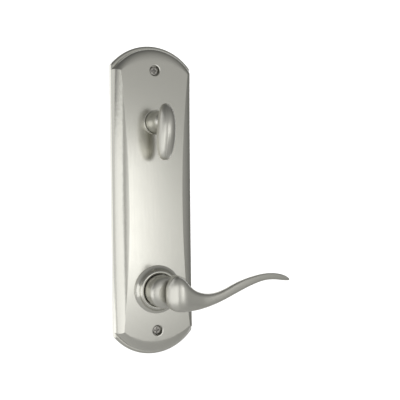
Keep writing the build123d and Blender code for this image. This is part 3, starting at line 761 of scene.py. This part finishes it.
def backdrop(finish, base, glow):
    """A matt surface that the camera, mirrors and glass see paler, by a glow that lights nothing."""
    rays = finish.add("ShaderNodeLightPath")
    seen = rays["Is Camera Ray"] + rays["Is Glossy Ray"] + rays["Is Transmission Ray"]
    lit = finish.add("ShaderNodeBsdfDiffuse", None, {"Color": base})["BSDF"]
    pale = finish.add("ShaderNodeEmission", None, {"Color": WHITE, "Strength": seen * glow})["Emission"]
    surface = finish.add("ShaderNodeAddShader", None, {"Shader": lit, "Shader_001": pale})["Shader"]
    finish.add("ShaderNodeOutputMaterial", None, {"Surface": surface})


def staged_mesh(name, points, faces, finish):
    mesh = bpy.data.meshes.new(name)
    mesh.from_pydata(points, [], faces)
    mesh.materials.append(finish.owner)
    piece = bpy.data.objects.new(name, mesh)
    bpy.context.scene.collection.objects.link(piece)
    return piece


def strip(profile, left, right):
    """Points and faces of a strip along X that follows a profile of (y, z) points."""
    points = [(x, y, z) for y, z in profile for x in (left, right)]
    faces = [(2 * i, 2 * i + 1, 2 * i + 3, 2 * i + 2) for i in range(len(profile) - 1)]
    return points, faces


def soft_panel(name, shape, place, width, height, level):
    """A soft light panel of an even brightness, aimed at the middle of the trim's front."""
    aim = Vector((0.0, -PlateForm.PANEL_DEPTH, 0.0))
    area = width * height * (pi / 4 if shape == "ELLIPSE" else 1)
    lamp = bpy.data.lights.new(name, "AREA")
    lamp.shape = shape
    lamp.size = width
    lamp.size_y = height
    lamp.energy = level * pi * area
    panel = bpy.data.objects.new(name, lamp)
    bpy.context.scene.collection.objects.link(panel)
    facing = (aim - place).to_track_quat("-Z", "Y")
    panel.matrix_world = Matrix.Translation(place) @ facing.to_matrix().to_4x4()
    panel.visible_camera = False


def around(azimuth, elevation, distance):
    """A place at a bearing from straight in front of the trim, positive to the right."""
    turn = radians(azimuth)
    lift = radians(elevation)
    return Vector((sin(turn) * cos(lift), -cos(turn) * cos(lift), sin(lift))) * distance


class LOCKSET_OT_stage(bpy.types.Operator):
    """Build the floor, the white sweep, the soft light panels and the camera"""

    bl_idname = "lockset.stage"
    bl_label = "Studio"

    def execute(self, context):
        stage = context.scene.lockset_stage
        self.floor(stage)
        self.sweep(stage)
        self.room(context, stage)
        self.panels(stage)
        self.camera(context, stage)
        context.scene.view_settings.view_transform = "Standard"
        return {"FINISHED"}

    def floor(self, stage):
        glow = 0.12
        half_side = 2.0
        below_sweep = 0.002
        paler_by = 1.04
        paler = tuple(min(1.0, value * paler_by) for value in stage.floor_colour)
        finish = new_finish("pale_floor")
        mottle = finish.clouds(whole_place(finish), FLOOR_MOTTLE, 3.0)
        backdrop(finish, finish.blend(mottle, (*stage.floor_colour, 1), (*paler, 1)), glow)
        z = stage.floor_height - below_sweep
        staged_mesh("floor", *strip([(-half_side, z), (half_side, z)], -half_side, half_side), finish)

    def sweep(self, stage):
        """Lay the sweep from behind the trim, along the camera's line of sight, up to a wall."""
        glow = 0.95
        front = 1.45
        back = 3.0
        left = -2.6
        right = 0.98
        top = 0.95
        bend = 0.12
        steps = 12
        finish = new_finish("white_sweep")
        backdrop(finish, (*stage.sweep_colour, 1), glow)
        z = stage.floor_height
        profile = [(front, z)]
        for step in range(steps + 1):
            turn = pi / 2 * step / steps
            profile.append((back - bend + bend * sin(turn), z + bend - bend * cos(turn)))
        profile.append((back, top))
        sweep = staged_mesh("sweep", *strip(profile, left, right), finish)
        x, y, _ = stage.camera_place
        sweep.matrix_world = Matrix.Translation((x, y, 0)) @ Matrix.Rotation(stage.camera_azimuth, 4, "Z")

    def room(self, context, stage):
        """Light the room dimly, more from the front than from behind and less from above."""
        behind = 0.55
        more_in_front = 0.75
        less_above = 0.4
        back_limit = 0.2
        front_limit = -0.9
        low_limit = 0.1
        high_limit = 0.9
        world = bpy.data.worlds.new("dim_room")
        context.scene.world = world
        finish = Finish(world)
        direction = finish.add("ShaderNodeTexCoord")["Generated"]
        parts = finish.add("ShaderNodeSeparateXYZ", None, {"Vector": direction})
        front = finish.between(parts["Y"], back_limit, front_limit)
        high = finish.between(parts["Z"], low_limit, high_limit)
        level = (behind + front * more_in_front) * (1 - high * less_above) * stage.room_brightness
        sockets = {"Color": ROOM_WHITE, "Strength": level}
        room = finish.add("ShaderNodeBackground", None, sockets)["Background"]
        finish.add("ShaderNodeOutputWorld", None, {"Surface": room})

    def panels(self, stage):
        """Place the panels: shape, bearing, elevation and distance, width and height, and brightness."""
        fill = stage.fill_brightness
        panels = {
            "left_panel": ("RECTANGLE", around(-72, -12, 1.0), 1.25, 0.72, stage.left_brightness),
            "back_left_panel": ("RECTANGLE", around(-130, 2, 1.0), 1.0, 1.1, stage.back_brightness),
            "back_top_panel": ("RECTANGLE", around(160, 45, 1.3), 1.4, 0.9, stage.top_brightness),
            "front_panel": ("ELLIPSE", around(-2, -8.5, 1.35), 1.50, 1.12, 0.30 * fill),
            "front_middle": ("ELLIPSE", around(-2, -8.5, 1.32), 1.22, 0.88, 0.28 * fill),
            "front_core": ("ELLIPSE", around(-2, -8.5, 1.29), 0.92, 0.62, 0.40 * fill),
            "window_panel": ("RECTANGLE", around(11, -4, 0.75), 0.18, 0.28, stage.key_brightness),
        }
        for name, panel in panels.items():
            soft_panel(name, *panel)

    def camera(self, context, stage):
        lens = bpy.data.cameras.new("camera")
        lens.sensor_width = 36.0
        lens.lens = stage.camera_lens
        lens.dof.use_dof = False
        camera = bpy.data.objects.new("camera", lens)
        context.scene.collection.objects.link(camera)
        turn = stage.camera_azimuth
        lift = stage.camera_elevation
        roll = stage.camera_roll
        back = Vector((sin(turn) * cos(lift), -cos(turn) * cos(lift), sin(lift)))
        level = Vector((0, 0, 1)).cross(back).normalized()
        upright = back.cross(level)
        right = cos(roll) * level + sin(roll) * upright
        up = cos(roll) * upright - sin(roll) * level
        facing = Matrix((right, up, back)).transposed().to_4x4()
        camera.matrix_world = Matrix.Translation(stage.camera_place) @ facing
        context.scene.camera = camera


class LOCKSET_PT_looks(bpy.types.Panel):
    """The trim's finishes and studio, in the order they are made"""

    bl_idname = "LOCKSET_PT_looks"
    bl_label = "Lockset trim"
    bl_space_type = "VIEW_3D"
    bl_region_type = "UI"
    bl_category = "Lockset"

    def draw(self, context):
        for group in (context.scene.lockset_finish, context.scene.lockset_stage):
            column = self.layout.column()
            for name in group.__annotations__:
                column.prop(group, name)
        for maker in OPERATORS:
            self.layout.operator(maker.bl_idname)


OPERATORS = (
    LOCKSET_OT_stage,
    LOCKSET_OT_escutcheon,
    LOCKSET_OT_lever,
    LOCKSET_OT_turned_rings,
    LOCKSET_OT_turnpiece,
    LOCKSET_OT_face_screws,
    LOCKSET_OT_zinc_pieces,
    LOCKSET_OT_steel_pieces,
    LOCKSET_OT_return_spring,
    LOCKSET_OT_brass_pieces,
)
CLASSES = (FinishSettings, StageSettings, *OPERATORS, LOCKSET_PT_looks)


def register():
    for item in CLASSES:
        bpy.utils.register_class(item)
    bpy.types.Scene.lockset_finish = bpy.props.PointerProperty(type=FinishSettings)
    bpy.types.Scene.lockset_stage = bpy.props.PointerProperty(type=StageSettings)


def unregister():
    del bpy.types.Scene.lockset_stage
    del bpy.types.Scene.lockset_finish
    for item in reversed(CLASSES):
        bpy.utils.unregister_class(item)


def main():
    register()
    bpy.ops.lockset.stage()
    bpy.ops.lockset.escutcheon()
    bpy.ops.lockset.lever()
    bpy.ops.lockset.turned_rings()
    bpy.ops.lockset.turnpiece()
    bpy.ops.lockset.face_screws()
    bpy.ops.lockset.zinc_pieces()
    bpy.ops.lockset.steel_pieces()
    bpy.ops.lockset.return_spring()
    bpy.ops.lockset.brass_pieces()


if __name__ == "__main__":
    main()
